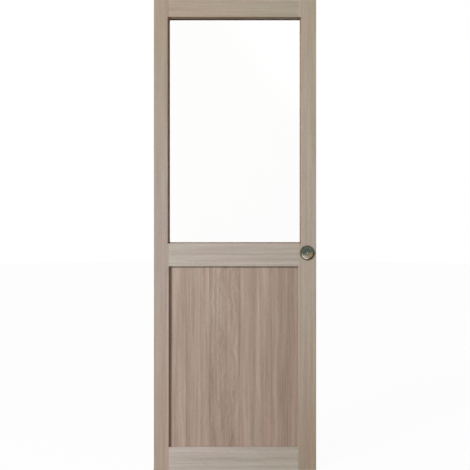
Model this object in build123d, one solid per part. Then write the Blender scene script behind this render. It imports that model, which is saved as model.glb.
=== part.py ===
"""Sliding glazed door: a stile-and-rail leaf with its head track, running gear and floor guide.

Millimetres. +Z is up and +X is to the right for someone who looks at the front, which faces -Y.
The origin is on the floor at the centre of the floor guide. The wall behind is the plane y = WALL_Y.
The leaf is shown closed, at the right end of its travel, and slides along -X to open.
"""
import os
from math import sqrt

from build123d import *

# Leaf
LEAF_WIDTH = 730.0
LEAF_HEIGHT = 2115.0
LEAF_THICKNESS = 40.0
FLOOR_GAP = 8.0
REAR_STILE_WIDTH = 67.5
PULL_STILE_WIDTH = 80.0
TOP_RAIL_HEIGHT = 82.5
MID_RAIL_HEIGHT = 107.5
BOTTOM_RAIL_HEIGHT = 103.0
PANEL_SIGHT_HEIGHT = 813.0
ARRIS = 1.2
OUTER_ARRIS = 1.5

# Lower panel and its groove
PANEL_RECESS = 12.0
PANEL_GROOVE_DEPTH = 12.0
PANEL_EDGE_GAP = 2.0
PANEL_PLAY = 0.1

# Corner dowels
DOWEL_RADIUS = 5.0
DOWEL_LENGTH = 90.0
DOWEL_IN_STILE = 40.0
DOWEL_EDGE = 28.0
DOWEL_END_GAP = 1.0
DOWEL_CHAMFER = 1.2

# Glazing. The pull stile is narrower beside the glass than beside the panel.
PULL_STILE_CUT = 8.0
GLAZING_STEP = 4.5
GLAZING_STEP_DEPTH = 10.0
GLAZING_LIP = 5.0
REBATE_DEPTH = 12.0
GLASS_THICKNESS = 6.0
GASKET_WALL = 2.0
GASKET_SIGHT = 1.0
BEAD_ROUND = 3.0
SETTING_BLOCK_LENGTH = 60.0
SETTING_BLOCK_HEIGHT = 2.0

# Cup pulls
PULL_HEIGHT = 977.0
PULL_INSET = 39.0
PULL_RIM_RADIUS = 35.0
PULL_MOUTH_RADIUS = 31.5
PULL_FLOOR_RADIUS = 22.5
PULL_CORE = 16.4
PULL_RIM_PROUD = 1.4
PULL_METAL = 1.0
PULL_DISH = 1.2
PULL_KNEE = 6.0
PULL_LIP_ROUND = 0.5

# Head track
TRACK_END = 50.0
TRACK_WIDTH = 34.0
TRACK_HEIGHT = 34.0
TRACK_WALL = 2.4
TRACK_TOP = 3.0
TRACK_CORNER = 1.5
TRACK_SLOT = 11.0
LIP_EDGE_WIDTH = 1.2
LIP_EDGE_HEIGHT = 1.6
TRACK_GAP = 24.0
DRILL_LINE_DEPTH = 0.5

# Travel
GUIDE_OVERLAP = 30.0
BUFFER_GAP = 0.3

# Wall brackets
WALL_Y = 38.0
BRACKET_COUNT = 4
BRACKET_INSET = 90.0
BRACKET_WIDTH = 44.0
BRACKET_THICKNESS = 3.0
BRACKET_REACH = 52.0
BRACKET_RISE = 56.0
BRACKET_BEND = 5.0
BRACKET_CORNER = 6.0
WALL_HOLE_RADIUS = 3.25
WALL_HOLE_SPACING = 20.0
WALL_HOLE_INSET = 12.0
BRACKET_SLOT_LENGTH = 16.0

# Track bolts
TRACK_BOLT_RADIUS = 3.0
TRACK_BOLT_CLEARANCE = 0.25
TRACK_BOLT_HEAD_RADIUS = 5.25
TRACK_BOLT_HEAD_HEIGHT = 3.3
TRACK_BOLT_HEAD_ROUND = 2.3
TRACK_BOLT_KEY = 4.0
TRACK_BOLT_KEY_DEPTH = 2.0
TRACK_NUT_FLATS = 10.0
TRACK_NUT_HEIGHT = 5.0
THREAD_PROUD = 1.5

# Carriages and wheels
CARRIAGE_INSET = 135.0
CARRIAGE_LENGTH = 76.0
CARRIAGE_WIDTH = 11.0
CARRIAGE_HEIGHT = 14.0
CARRIAGE_END_RADIUS = 4.0
AXLE_SPACING = 52.0
AXLE_RADIUS = 2.5
AXLE_HEAD_RADIUS = 4.0
AXLE_HEAD = 0.5
WHEEL_RADIUS = 11.0
WHEEL_EDGE_GAP = 0.3
WHEEL_WALL_GAP = 0.2
WHEEL_HUB_RADIUS = 4.6
WHEEL_RIM = 2.6
WHEEL_RECESS = 1.4
WHEEL_CROWN = 0.6
WHEEL_LIFT = 0.3
SIDE_GAP = 0.3
HEAD_GAP = 0.1
RUNNING_CLEARANCE = 0.05
FIT_CLEARANCE = 0.02

# Hanger plates and suspension bolts
PLATE_LENGTH = 104.0
PLATE_WIDTH = 30.0
PLATE_THICKNESS = 3.0
PLATE_RISE = 9.0
PLATE_WEB = 40.0
PLATE_SLOPE = 6.0
PLATE_BEND = 3.0
PLATE_CORNER = 4.0
SCREW_PITCH_X = 82.0
SCREW_DOWEL_WALL = 0.5
SCREW_RADIUS = 2.5
SCREW_HEAD_RADIUS = 4.8
SCREW_LENGTH = 45.0
SCREW_TIP = 5.0
SCREW_FIT = 0.05
HANGER_BOLT_RADIUS = 4.0
HANGER_BOLT_CLEARANCE = 0.3
HANGER_BOLT_FLATS = 13.0
HANGER_BOLT_HEAD = 5.3
LOCK_NUT_HEIGHT = 5.0
HEX_CHAMFER = 0.6

# End stops
STOP_LENGTH = 36.0
STOP_TOP_GAP = 4.6
STOP_SIDE_GAP = 0.3
STOP_NOTCH_GAP = 0.5
STOP_CHAMFER = 1.0
STOP_SCREW_PITCH = 18.0
STOP_SCREW_RADIUS = 2.5
STOP_SCREW_KEY = 2.5
STOP_SCREW_KEY_DEPTH = 3.0
STOP_SCREW_RECESS = 4.0
BUFFER_RADIUS = 5.0
BUFFER_LENGTH = 8.0
BUFFER_ROUND = 2.0
BUFFER_STEM_RADIUS = 2.4
BUFFER_STEM = 7.0

# Floor guide
GUIDE_END = 8.0
GUIDE_WIDTH = 30.0
GUIDE_BASE = 4.0
GUIDE_ARRIS = 1.0
GUIDE_CORNER = 8.0
GUIDE_FIN_LENGTH = 40.0
GUIDE_FIN_THICKNESS = 6.0
GUIDE_FIN_ROUND = 2.0
GUIDE_FOOT_ROUND = 1.5
GUIDE_TOP_GAP = 2.0
GUIDE_SIDE_GAP = 0.5
GUIDE_GROOVE_DEPTH = 18.0
GUIDE_HOLE_RADIUS = 2.25
GUIDE_HOLE_SETBACK = 8.0
GUIDE_SINK_RADIUS = 4.4

# How far a cutter runs past the face that it leaves by, and how near to an edge the place is that picks it
CUT_PAST = 1.0
PICK = 0.1

# Places worked out from the sizes above
LEAF_X = (-GUIDE_OVERLAP, LEAF_WIDTH - GUIDE_OVERLAP)
LEAF_Y = (-LEAF_THICKNESS / 2, LEAF_THICKNESS / 2)
LEAF_Z = (FLOOR_GAP, FLOOR_GAP + LEAF_HEIGHT)
TRAVEL = LEAF_WIDTH - 2 * GUIDE_OVERLAP
REAR_STILE_X = (LEAF_X[0], LEAF_X[0] + REAR_STILE_WIDTH)
PULL_STILE_X = (LEAF_X[1] - PULL_STILE_WIDTH, LEAF_X[1])
SIGHT_X = (REAR_STILE_X[1], PULL_STILE_X[0])
BOTTOM_RAIL_Z = (LEAF_Z[0], LEAF_Z[0] + BOTTOM_RAIL_HEIGHT)
PANEL_SIGHT_Z = (BOTTOM_RAIL_Z[1], BOTTOM_RAIL_Z[1] + PANEL_SIGHT_HEIGHT)
MID_RAIL_Z = (PANEL_SIGHT_Z[1], PANEL_SIGHT_Z[1] + MID_RAIL_HEIGHT)
TOP_RAIL_Z = (LEAF_Z[1] - TOP_RAIL_HEIGHT, LEAF_Z[1])
GLAZING_SIGHT_X = (SIGHT_X[0], SIGHT_X[1] + PULL_STILE_CUT)
GLAZING_SIGHT_Z = (MID_RAIL_Z[1], TOP_RAIL_Z[0])
STEP_Y = LEAF_Y[0] + GLAZING_STEP_DEPTH
STEP_X = (GLAZING_SIGHT_X[0] - GLAZING_STEP, GLAZING_SIGHT_X[1] + GLAZING_STEP)
STEP_Z = (GLAZING_SIGHT_Z[0] - GLAZING_STEP, GLAZING_SIGHT_Z[1] + GLAZING_STEP)
REBATE_Y = (STEP_Y + GLAZING_LIP, LEAF_Y[1])
GLASS_COVER = REBATE_DEPTH - SETTING_BLOCK_HEIGHT - GASKET_WALL
GASKET_Y = (REBATE_Y[0], REBATE_Y[0] + GLASS_THICKNESS + 2 * GASKET_WALL)
GLASS_Y = (GASKET_Y[0] + GASKET_WALL, GASKET_Y[1] - GASKET_WALL)
BEAD_Y = (GASKET_Y[1], LEAF_Y[1])
PULL_X = LEAF_X[1] - PULL_INSET
PULL_Z = LEAF_Z[0] + PULL_HEIGHT
PULL_POCKET = (LEAF_THICKNESS - PULL_CORE) / 2
PULL_DEPTH = PULL_POCKET - FIT_CLEARANCE - PULL_METAL - PULL_DISH
TRACK_LENGTH = 2 * (LEAF_X[1] + TRACK_END)
TRACK_Z = (LEAF_Z[1] + TRACK_GAP, LEAF_Z[1] + TRACK_GAP + TRACK_HEIGHT)
LIP_Z = TRACK_Z[0] + TRACK_WALL
CEILING_Z = TRACK_Z[1] - TRACK_TOP
CHANNEL_HALF = TRACK_WIDTH / 2 - TRACK_WALL
LIP_EDGE_Y = TRACK_SLOT / 2 + LIP_EDGE_WIDTH
WHEEL_Y = (LIP_EDGE_Y + WHEEL_EDGE_GAP, CHANNEL_HALF - WHEEL_WALL_GAP - AXLE_HEAD - HEAD_GAP)
WHEEL_WIDTH = WHEEL_Y[1] - WHEEL_Y[0]
WHEEL_OFFSET = (WHEEL_Y[0] + WHEEL_Y[1]) / 2
AXLE_Z = LIP_Z + WHEEL_LIFT + WHEEL_RADIUS
CARRIAGE_Z = (AXLE_Z - CARRIAGE_HEIGHT / 2, AXLE_Z + CARRIAGE_HEIGHT / 2)
CARRIAGE_XS = {"left": LEAF_X[0] + CARRIAGE_INSET, "right": LEAF_X[1] - CARRIAGE_INSET}
BRACKET_PITCH = (TRACK_LENGTH - 2 * BRACKET_INSET) / (BRACKET_COUNT - 1)
BRACKET_XS = [(i - (BRACKET_COUNT - 1) / 2) * BRACKET_PITCH for i in range(BRACKET_COUNT)]
WEB_Z = (LEAF_Z[1] + PLATE_RISE, LEAF_Z[1] + PLATE_RISE + PLATE_THICKNESS)
SCREW_PITCH_Y = 2 * (DOWEL_RADIUS + SCREW_DOWEL_WALL + SCREW_RADIUS)
STOP_Z = (LIP_Z, CEILING_Z - STOP_TOP_GAP)
GUIDE_HOLE_SPACING = GUIDE_FIN_LENGTH + 2 * GUIDE_HOLE_SETBACK
GUIDE_LENGTH = GUIDE_HOLE_SPACING + 2 * GUIDE_END
GROOVE_HALF = GUIDE_FIN_THICKNESS / 2 + GUIDE_SIDE_GAP

# How far along each leg the middle point of a quarter arc lies
ARC_SHARE = sqrt(0.5)


def slab(x, y, z):
    """A block between two corners, with each axis given as (low, high)."""
    sizes = [high - low for low, high in (x, y, z)]
    middle = [(high + low) / 2 for low, high in (x, y, z)]
    return Pos(*middle) * Box(*sizes)


def grown(span, amount):
    """A (low, high) pair made longer by the same amount at both ends."""
    return (span[0] - amount, span[1] + amount)


def peg(radius, z, chamfer_size=0.0):
    """An upright cylinder between two heights, with its two rims chamfered if asked."""
    pin = Pos(0, 0, z[0]) * Cylinder(radius, z[1] - z[0], align=(Align.CENTER, Align.CENTER, Align.MIN))
    if chamfer_size:
        pin = chamfer(pin.edges().filter_by(GeomType.CIRCLE), chamfer_size)
    return pin


def hexagon(flats, z, bore=0.0, both_faces=True):
    """A hexagon nut or head between two heights, with its corners cut back to a cone."""
    height = z[1] - z[0]
    corner = flats / sqrt(3)
    body = Pos(0, 0, z[0]) * extrude(RegularPolygon(corner, 6), height)
    edge = corner + HEX_CHAMFER
    face = flats / 2
    drop = (edge - face) * HEX_CHAMFER / (corner - face)
    outline = [(0, z[0])]
    outline += [(face, z[0]), (edge, z[0] + drop)] if both_faces else [(edge, z[0])]
    outline += [(edge, z[1] - drop), (face, z[1]), (0, z[1])]
    cone = turned(outline)
    solid = body & cone
    if bore:
        solid -= peg(bore, grown(z, CUT_PAST))
    return solid


def turned(outline):
    """A solid of revolution about Z from (radius, height) points."""
    face = make_face(Polyline(*[(r, 0, h) for r, h in outline], close=True).edges())
    return revolve(face, Axis.Z, 360)


def countersunk_screw(radius, head_radius, length, tip, grow=0.0):
    """A countersunk screw that points down from z = 0, or with grow the hole that it fills."""
    r = radius + grow
    head = head_radius + grow
    sink = head_radius - radius
    outline = [(0, 0), (head, 0), (r, -sink), (r, tip - length - grow), (0, -length - grow)]
    return turned(outline)


def arris_cutter(x, y, z, toward):
    """A shallow frustum that eases the arris of an opening on the face at y, front (-1) or back (+1)."""
    sight = Plane(((x[0] + x[1]) / 2, y, (z[0] + z[1]) / 2), x_dir=(1, 0, 0), z_dir=(0, toward, 0))
    outline = Rectangle(x[1] - x[0] + 2 * ARRIS, z[1] - z[0] + 2 * ARRIS)
    return extrude(sight * outline, -ARRIS, taper=45)


def panel_groove():
    """The room that the panel's edge takes out of the stiles and rails."""
    half = LEAF_THICKNESS / 2 - PANEL_RECESS + PANEL_PLAY
    x = grown(SIGHT_X, PANEL_GROOVE_DEPTH)
    z = grown(PANEL_SIGHT_Z, PANEL_GROOVE_DEPTH)
    return slab(x, (-half, half), z)


def glazing_rebate():
    """The step round the glazed opening, open to the back, that takes glass, gasket and beads."""
    return slab(grown(GLAZING_SIGHT_X, REBATE_DEPTH), REBATE_Y, grown(GLAZING_SIGHT_Z, REBATE_DEPTH))


def glazing_step():
    """The step round the glazed opening on the front, which leaves the lip that the gasket seats on."""
    return slab(STEP_X, (LEAF_Y[0] - CUT_PAST, STEP_Y), STEP_Z)


def glazed_opening():
    """What the glazing takes out of the stiles and rails: the opening, the step and the rebate."""
    return slab(GLAZING_SIGHT_X, LEAF_Y, GLAZING_SIGHT_Z) + glazing_step() + glazing_rebate()


def guide_groove():
    """The groove in the leaf's bottom edge that the floor guide's fin stands in."""
    z = (LEAF_Z[0], LEAF_Z[0] + GUIDE_GROOVE_DEPTH)
    return slab(grown(LEAF_X, CUT_PAST), (-GROOVE_HALF, GROOVE_HALF), z)


def eased_openings():
    """The cutters that ease the arrises of both openings, and of the step and lip round the glazed one."""
    return [
        arris_cutter(SIGHT_X, LEAF_Y[0], PANEL_SIGHT_Z, -1),
        arris_cutter(SIGHT_X, LEAF_Y[1], PANEL_SIGHT_Z, 1),
        arris_cutter(STEP_X, LEAF_Y[0], STEP_Z, -1),
        arris_cutter(GLAZING_SIGHT_X, STEP_Y, GLAZING_SIGHT_Z, -1),
    ]


def dowel_places():
    """The centre of each dowel's joint face as (x, z, side), with side the way that its stile lies."""
    places = []
    for rail in (BOTTOM_RAIL_Z, MID_RAIL_Z, TOP_RAIL_Z):
        for z in (rail[0] + DOWEL_EDGE, rail[1] - DOWEL_EDGE):
            places.append((SIGHT_X[0], z, -1))
            places.append((SIGHT_X[1], z, 1))
    return places


def dowel_set(grow=0.0, extra=0.0, chamfer_size=0.0):
    """All the dowels, or with grow and extra the holes that they are driven into."""
    pins = []
    for x, z, side in dowel_places():
        near = -(DOWEL_LENGTH - DOWEL_IN_STILE) - extra
        far = DOWEL_IN_STILE + extra
        pin = peg(DOWEL_RADIUS + grow, (near, far), chamfer_size)
        pins.append(Pos(x, 0, z) * Rot(0, 90 * side, 0) * pin)
    return pins


def stile(x, outer_x):
    """An upright of the leaf, full height, with its two outer arrises rounded."""
    blank = slab(x, LEAF_Y, LEAF_Z)
    arrises = blank.edges().filter_by(Axis.Z).filter_by_position(Axis.X, *grown((outer_x, outer_x), PICK))
    return fillet(arrises, OUTER_ARRIS)


def framed(blank, holes):
    """Cuts a stile or rail for the panel, the glazing, the eased arrises and the dowels."""
    solid = blank - panel_groove() - glazed_opening()
    for cutter in eased_openings():
        solid -= cutter
    for hole in holes:
        solid -= hole
    return solid


def pull_bore(toward):
    """The pocket in one face of the pull stile that a cup is pressed into."""
    pocket = peg(PULL_MOUTH_RADIUS + PULL_METAL + FIT_CLEARANCE, (-PULL_POCKET, CUT_PAST))
    return Pos(PULL_X, toward * LEAF_THICKNESS / 2, PULL_Z) * Rot(-90 * toward, 0, 0) * pocket


def dish(radius, height, depth):
    """The arc of a shallow bowl from its rim, at a radius and height, down to its lowest point."""
    sphere = (radius**2 + depth**2) / (2 * depth)
    half_way = height - depth + sphere - sqrt(sphere**2 - radius**2 / 4)
    return ThreePointArc((radius, 0, height), (radius / 2, 0, half_way), (0, 0, height - depth))


def cup_pull(toward):
    """A pressed cup: a rounded rim that lies on the face, a wall that curves in, and a dished floor."""
    mouth, floor, rim, lip = PULL_MOUTH_RADIUS, PULL_FLOOR_RADIUS, PULL_RIM_RADIUS, PULL_RIM_PROUD
    skirt = mouth + PULL_METAL
    under = -PULL_DEPTH - PULL_METAL
    knee = -PULL_DEPTH + PULL_KNEE
    inside_knee = (floor + (mouth - floor) * ARC_SHARE, 0, -PULL_DEPTH + PULL_KNEE * (1 - ARC_SHARE))
    outside_knee = (floor + (skirt - floor) * ARC_SHARE, 0, under + PULL_KNEE * (1 - ARC_SHARE))
    rim_shoulder = (rim - lip * (1 - ARC_SHARE), 0, lip * ARC_SHARE)
    mouth_shoulder = (mouth + PULL_LIP_ROUND * (1 - ARC_SHARE), 0, lip - PULL_LIP_ROUND * (1 - ARC_SHARE))
    outline = [
        dish(floor, -PULL_DEPTH, PULL_DISH),
        Line((0, 0, -PULL_DEPTH - PULL_DISH), (0, 0, under - PULL_DISH)),
        dish(floor, under, PULL_DISH),
        ThreePointArc((floor, 0, under), outside_knee, (skirt, 0, under + PULL_KNEE)),
        Line((skirt, 0, under + PULL_KNEE), (skirt, 0, 0)),
        Line((skirt, 0, 0), (rim, 0, 0)),
        ThreePointArc((rim, 0, 0), rim_shoulder, (rim - lip, 0, lip)),
        Line((rim - lip, 0, lip), (mouth + PULL_LIP_ROUND, 0, lip)),
        ThreePointArc((mouth + PULL_LIP_ROUND, 0, lip), mouth_shoulder, (mouth, 0, lip - PULL_LIP_ROUND)),
        Line((mouth, 0, lip - PULL_LIP_ROUND), (mouth, 0, knee)),
        ThreePointArc((mouth, 0, knee), inside_knee, (floor, 0, -PULL_DEPTH)),
    ]
    cup = revolve(make_face(outline), Axis.Z, 360)
    return Pos(PULL_X, toward * LEAF_THICKNESS / 2, PULL_Z) * Rot(-90 * toward, 0, 0) * cup


def leaf_frame():
    """The two stiles and three rails."""
    holes = dowel_set(grow=FIT_CLEARANCE, extra=DOWEL_END_GAP)
    rear = framed(stile(REAR_STILE_X, LEAF_X[0]), holes) - guide_groove()
    pull = framed(stile(PULL_STILE_X, LEAF_X[1]), holes) - guide_groove()
    pull = pull - pull_bore(-1) - pull_bore(1)
    bottom = framed(slab(SIGHT_X, LEAF_Y, BOTTOM_RAIL_Z), holes) - guide_groove()
    middle = framed(slab(SIGHT_X, LEAF_Y, MID_RAIL_Z), holes)
    top = framed(slab(SIGHT_X, LEAF_Y, TOP_RAIL_Z), holes)
    for screw in plate_screws(SCREW_FIT):
        top -= screw
    return {
        "rear_stile": rear,
        "pull_stile": pull,
        "bottom_rail": bottom,
        "mid_rail": middle,
        "top_rail": top,
    }


def lower_panel():
    """The flat board in the lower opening, free to swell in its grooves."""
    reach = PANEL_GROOVE_DEPTH - PANEL_EDGE_GAP
    half = LEAF_THICKNESS / 2 - PANEL_RECESS
    return slab(grown(SIGHT_X, reach), (-half, half), grown(PANEL_SIGHT_Z, reach))


def glass_pane():
    """The single sheet of glass."""
    return slab(grown(GLAZING_SIGHT_X, GLASS_COVER), GLASS_Y, grown(GLAZING_SIGHT_Z, GLASS_COVER))


def glazing_gasket():
    """A ring of U section that wraps the pane's edge and shows a little inside the sight line."""
    reach = GLASS_COVER + GASKET_WALL
    ring = slab(grown(GLAZING_SIGHT_X, reach), GASKET_Y, grown(GLAZING_SIGHT_Z, reach))
    ring -= slab(grown(GLAZING_SIGHT_X, -GASKET_SIGHT), GASKET_Y, grown(GLAZING_SIGHT_Z, -GASKET_SIGHT))
    return ring - glass_pane()


def setting_blocks():
    """Two packers that carry the pane's weight to the mid rail, at a quarter of its width from each side."""
    z = (GLAZING_SIGHT_Z[0] - REBATE_DEPTH, GLAZING_SIGHT_Z[0] - GLASS_COVER - GASKET_WALL)
    quarter = (GLAZING_SIGHT_X[1] - GLAZING_SIGHT_X[0]) / 4
    blocks = []
    for centre in (GLAZING_SIGHT_X[0] + quarter, GLAZING_SIGHT_X[1] - quarter):
        blocks.append(slab(grown((centre, centre), SETTING_BLOCK_LENGTH / 2), GASKET_Y, z))
    return blocks


def glazing_beads():
    """Four mitred beads that close the rebate on the back, each with a rounded arris towards the glass."""
    outer_x, outer_z = grown(GLAZING_SIGHT_X, REBATE_DEPTH), grown(GLAZING_SIGHT_Z, REBATE_DEPTH)
    opening = slab(GLAZING_SIGHT_X, BEAD_Y, GLAZING_SIGHT_Z)
    ring = slab(outer_x, BEAD_Y, outer_z) - opening
    shown = ring.edges().filter_by_position(Axis.Y, *grown((BEAD_Y[1], BEAD_Y[1]), PICK))
    shown = shown.filter_by_position(Axis.X, *grown(GLAZING_SIGHT_X, PICK))
    shown = shown.filter_by_position(Axis.Z, *grown(GLAZING_SIGHT_Z, PICK))
    ring = fillet(shown, BEAD_ROUND)
    corners = {
        "bottom": ((0, 0), (1, 0)),
        "right": ((1, 0), (1, 1)),
        "top": ((1, 1), (0, 1)),
        "left": ((0, 1), (0, 0)),
    }
    beads = {}
    for side, (start, end) in corners.items():
        outline = [(outer_x[i], outer_z[j]) for i, j in (start, end)]
        outline += [(GLAZING_SIGHT_X[i], GLAZING_SIGHT_Z[j]) for i, j in (end, start)]
        wedge = extrude(Plane.XZ * make_face(Polyline(*outline, close=True)), LEAF_THICKNESS, both=True)
        beads[f"glazing_bead_{side}"] = ring & wedge
    return beads


def track_extrusion():
    """The extruded C section: a thick top, two walls and two lips whose slot edges turn up."""
    centre_z = (TRACK_Z[0] + TRACK_Z[1]) / 2
    section = Pos(0, centre_z) * RectangleRounded(TRACK_WIDTH, TRACK_HEIGHT, TRACK_CORNER)
    hollow_z = (LIP_Z + CEILING_Z) / 2
    section -= Pos(0, hollow_z) * Rectangle(2 * CHANNEL_HALF, CEILING_Z - LIP_Z)
    section += Pos(0, LIP_Z + LIP_EDGE_HEIGHT / 2) * Rectangle(2 * LIP_EDGE_Y, LIP_EDGE_HEIGHT)
    slot_height = TRACK_WALL + LIP_EDGE_HEIGHT
    section -= Pos(0, TRACK_Z[0] + slot_height / 2) * Rectangle(TRACK_SLOT, slot_height)
    drill_line = Polygon(
        (-DRILL_LINE_DEPTH, CEILING_Z), (0, CEILING_Z + DRILL_LINE_DEPTH), (DRILL_LINE_DEPTH, CEILING_Z),
        align=None,
    )
    section -= drill_line
    bar = extrude(Plane.YZ * section, TRACK_LENGTH / 2, both=True)
    hole = peg(TRACK_BOLT_RADIUS + TRACK_BOLT_CLEARANCE, grown((CEILING_Z, TRACK_Z[1]), CUT_PAST))
    for x in BRACKET_XS:
        bar -= Pos(x, 0, 0) * hole
    return bar


def track():
    """The extrusion as its five straight limbs, which meet face to face: top, walls and lips."""
    whole = track_extrusion()
    length = grown((0, 0), TRACK_LENGTH / 2)
    outside = TRACK_WIDTH / 2
    limbs = {"track_top": whole & slab(length, (-outside, outside), (CEILING_Z, TRACK_Z[1]))}
    for name, side in (("front", -1), ("back", 1)):
        wall_y = sorted((side * CHANNEL_HALF, side * outside))
        half_y = sorted((0, side * outside))
        limbs[f"track_wall_{name}"] = whole & slab(length, wall_y, (LIP_Z, CEILING_Z))
        lip = whole & slab(length, half_y, (TRACK_Z[0], LIP_Z + LIP_EDGE_HEIGHT))
        limbs[f"track_lip_{name}"] = lip - slab(length, wall_y, (LIP_Z, CEILING_Z))
    return limbs


def wall_bracket(x):
    """A bent strip: a slotted flange over the track, and a flange up the wall with two holes."""
    half = BRACKET_THICKNESS / 2
    reach = (WALL_Y - BRACKET_REACH, WALL_Y)
    rise = (TRACK_Z[1], TRACK_Z[1] + BRACKET_RISE)
    bend = FilletPolyline(
        (reach[0], rise[0] + half),
        (reach[1] - half, rise[0] + half),
        (reach[1] - half, rise[1]),
        radius=BRACKET_BEND,
    )
    section = Plane.YZ * trace(bend, BRACKET_THICKNESS)
    strip = extrude(section, BRACKET_WIDTH / 2, both=True)
    front = strip.edges().filter_by(Axis.Z).group_by(Axis.Y)[0]
    top = strip.edges().filter_by(Axis.Y).group_by(Axis.Z)[-1]
    strip = fillet(front + top, BRACKET_CORNER)
    slot = Rot(0, 0, 90) * SlotOverall(BRACKET_SLOT_LENGTH, 2 * (TRACK_BOLT_RADIUS + TRACK_BOLT_CLEARANCE))
    strip -= Pos(0, 0, rise[0] - CUT_PAST) * extrude(slot, BRACKET_THICKNESS + 2 * CUT_PAST)
    for step in (0, 1):
        z = rise[1] - WALL_HOLE_INSET - step * WALL_HOLE_SPACING
        hole = peg(WALL_HOLE_RADIUS, grown((0, BRACKET_THICKNESS), CUT_PAST))
        strip -= Pos(0, WALL_Y, z) * Rot(90, 0, 0) * hole
    return Pos(x, 0, 0) * strip


def track_bolts():
    """Button-head bolts that come up through the track's top and the brackets' slots."""
    top = TRACK_Z[1] + BRACKET_THICKNESS + TRACK_NUT_HEIGHT + THREAD_PROUD
    key_z = (CEILING_Z - TRACK_BOLT_HEAD_HEIGHT, CEILING_Z - TRACK_BOLT_HEAD_HEIGHT + TRACK_BOLT_KEY_DEPTH)
    head = peg(TRACK_BOLT_HEAD_RADIUS, (CEILING_Z - TRACK_BOLT_HEAD_HEIGHT, CEILING_Z))
    low_rim = head.edges().filter_by(GeomType.CIRCLE).sort_by(Axis.Z)[0]
    head = fillet(low_rim, TRACK_BOLT_HEAD_ROUND)
    bolt = head + peg(TRACK_BOLT_RADIUS, (CEILING_Z, top))
    bolt -= Pos(0, 0, key_z[0]) * extrude(RegularPolygon(TRACK_BOLT_KEY / sqrt(3), 6), TRACK_BOLT_KEY_DEPTH)
    return [Pos(x, 0, 0) * bolt for x in BRACKET_XS]


def track_nuts():
    """One nut on each bracket."""
    z = (TRACK_Z[1] + BRACKET_THICKNESS, TRACK_Z[1] + BRACKET_THICKNESS + TRACK_NUT_HEIGHT)
    nut = hexagon(TRACK_NUT_FLATS, z, bore=TRACK_BOLT_RADIUS + FIT_CLEARANCE)
    return [Pos(x, 0, 0) * nut for x in BRACKET_XS]


def stop_face(side):
    """The x of the end stop's face, one buffer away from where the carriage ends its travel."""
    if side > 0:
        return CARRIAGE_XS["right"] + CARRIAGE_LENGTH / 2 + BUFFER_GAP + BUFFER_LENGTH
    return CARRIAGE_XS["left"] - TRAVEL - CARRIAGE_LENGTH / 2 - BUFFER_GAP - BUFFER_LENGTH


def stop_screw_places(side):
    """The x of an end stop's two clamp screws."""
    middle = stop_face(side) + side * STOP_LENGTH / 2
    return [middle - STOP_SCREW_PITCH / 2, middle + STOP_SCREW_PITCH / 2]


def end_stop(side):
    """A block that sits on the track's lips, notched over their upturned edges."""
    x = sorted((stop_face(side), stop_face(side) + side * STOP_LENGTH))
    half = CHANNEL_HALF - STOP_SIDE_GAP
    block = slab(x, (-half, half), STOP_Z)
    block = chamfer(block.edges().filter_by(Axis.X).group_by(Axis.Z)[-1], STOP_CHAMFER)
    notch_half = LIP_EDGE_Y + STOP_NOTCH_GAP
    notch_z = (LIP_Z, LIP_Z + LIP_EDGE_HEIGHT + STOP_NOTCH_GAP)
    block -= slab(grown(x, CUT_PAST), (-notch_half, notch_half), notch_z)
    for place in stop_screw_places(side):
        hole = peg(STOP_SCREW_RADIUS + FIT_CLEARANCE, grown(STOP_Z, CUT_PAST))
        block -= Pos(place, 0, 0) * hole
    stem_hole = peg(BUFFER_STEM_RADIUS + FIT_CLEARANCE, (-CUT_PAST, BUFFER_STEM))
    return block - Pos(stop_face(side), 0, AXLE_Z) * Rot(0, 90 * side, 0) * stem_hole


def stop_screws():
    """Socket set screws that push up on the track's top and so clamp the end stops."""
    z = (LIP_Z + LIP_EDGE_HEIGHT + STOP_SCREW_RECESS, CEILING_Z)
    screw = peg(STOP_SCREW_RADIUS, z, DRILL_LINE_DEPTH)
    screw -= Pos(0, 0, z[0]) * extrude(RegularPolygon(STOP_SCREW_KEY / sqrt(3), 6), STOP_SCREW_KEY_DEPTH)
    return [Pos(x, 0, 0) * screw for side in (-1, 1) for x in stop_screw_places(side)]


def stop_buffer(side):
    """A rubber button with its stem in the end stop."""
    button = peg(BUFFER_RADIUS, (-BUFFER_LENGTH, 0))
    front_rim = button.edges().filter_by(GeomType.CIRCLE).sort_by(Axis.Z)[0]
    button = fillet(front_rim, BUFFER_ROUND) + peg(BUFFER_STEM_RADIUS, (0, BUFFER_STEM - DOWEL_END_GAP))
    return Pos(stop_face(side), 0, AXLE_Z) * Rot(0, 90 * side, 0) * button


def carriage(x):
    """The body that holds two axles across it and the suspension bolt down its middle."""
    body = slab(grown((x, x), CARRIAGE_LENGTH / 2), grown((0, 0), CARRIAGE_WIDTH / 2), CARRIAGE_Z)
    body = fillet(body.edges().filter_by(Axis.Z), CARRIAGE_END_RADIUS)
    body = chamfer(body.faces().filter_by(Axis.Z).edges(), HEX_CHAMFER)
    half = CARRIAGE_WIDTH / 2
    for axle_x in axle_places(x):
        hole = peg(AXLE_RADIUS + FIT_CLEARANCE, grown((-half, half), CUT_PAST))
        body -= Pos(axle_x, 0, AXLE_Z) * Rot(90, 0, 0) * hole
    return body - Pos(x, 0, 0) * peg(HANGER_BOLT_RADIUS + FIT_CLEARANCE, grown(CARRIAGE_Z, CUT_PAST))


def axle_places(x):
    """The x of the two axles of the carriage at x."""
    return (x - AXLE_SPACING / 2, x + AXLE_SPACING / 2)


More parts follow.
